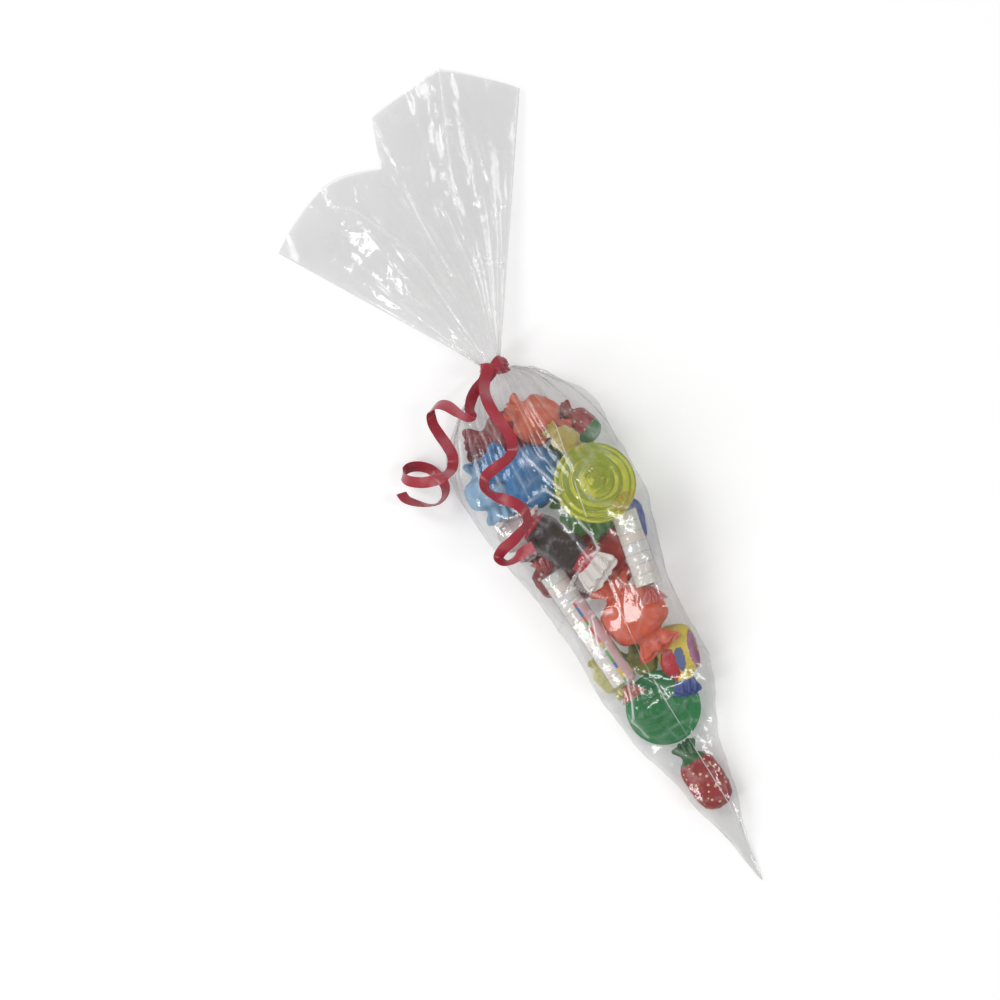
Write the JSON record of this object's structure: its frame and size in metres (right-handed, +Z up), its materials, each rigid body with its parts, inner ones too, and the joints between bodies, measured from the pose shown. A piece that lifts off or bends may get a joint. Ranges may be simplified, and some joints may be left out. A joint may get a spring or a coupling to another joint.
{
  "type": "filled cellophane cone bag",
  "caption": "Clear film cone bag filled with wrapped sweets and small toys, gathered and tied at the neck with curled red ribbon, its mouth fanned out.",
  "frame": {"origin": "a point of the flat underside, beneath the pile of sweets, where the bag rests", "axes": "+Y along the bag from its tip to its open mouth, +Z up from the surface that it lies on, +X to the right"},
  "size_m": [0.1248, 0.3693, 0.0498],
  "materials": {
    "clear_film": "glossy clear film",
    "red_ribbon": "satin crimped ribbon",
    "strawberry_wrap": "printed foil",
    "green_clear_plastic": "moulded clear",
    "yellow_clear_plastic": "moulded clear",
    "yellow_wrap": "printed waxed wrap",
    "olive_wrap": "waxed wrap",
    "blue_wrap": "waxed wrap",
    "light_blue_wrap": "waxed wrap",
    "red_wrap": "waxed wrap",
    "white_wrap": "waxed wrap",
    "green_wrap": "waxed wrap",
    "orange_wrap": "waxed wrap",
    "brown_wrap": "waxed wrap",
    "tablet": "pressed sugar",
    "clear_sleeve": "glossy clear film"
  },
  "bodies": {
    "root": {"film_bag": "clear_film", "ribbon_tie": "red_ribbon", "ribbon_tail_left": "red_ribbon", "ribbon_tail_right": "red_ribbon", "strawberry_sweet_tip": "strawberry_wrap", "strawberry_sweet_neck": "strawberry_wrap", "spinning_top_green": "green_clear_plastic", "spinning_top_yellow": "yellow_clear_plastic", "flat_sweet_pale_yellow": "yellow_wrap", "olive_sweet": "olive_wrap", "side_sweet_blue": "blue_wrap", "wrapped_sweet_red": "red_wrap", "wrapped_sweet_dark_red": "red_wrap", "wrapped_sweet_pale": "white_wrap", "wrapped_sweet_light_blue": "light_blue_wrap", "hidden_sweet_green": "green_wrap", "wrapped_sweet_crimson": "red_wrap", "gum_yellow": "yellow_wrap", "orange_sweet_large": "orange_wrap", "light_green_sweet": "green_wrap", "tablets_left": "tablet", "sleeve_left": "clear_sleeve", "tablets_right": "tablet", "sleeve_right": "clear_sleeve", "chew_roll_brown": "brown_wrap", "wrapped_sweet_blue": "blue_wrap", "wrapped_sweet_orange": "orange_wrap", "small_sweet_yellow": "yellow_wrap"}
  },
  "joints": []
}
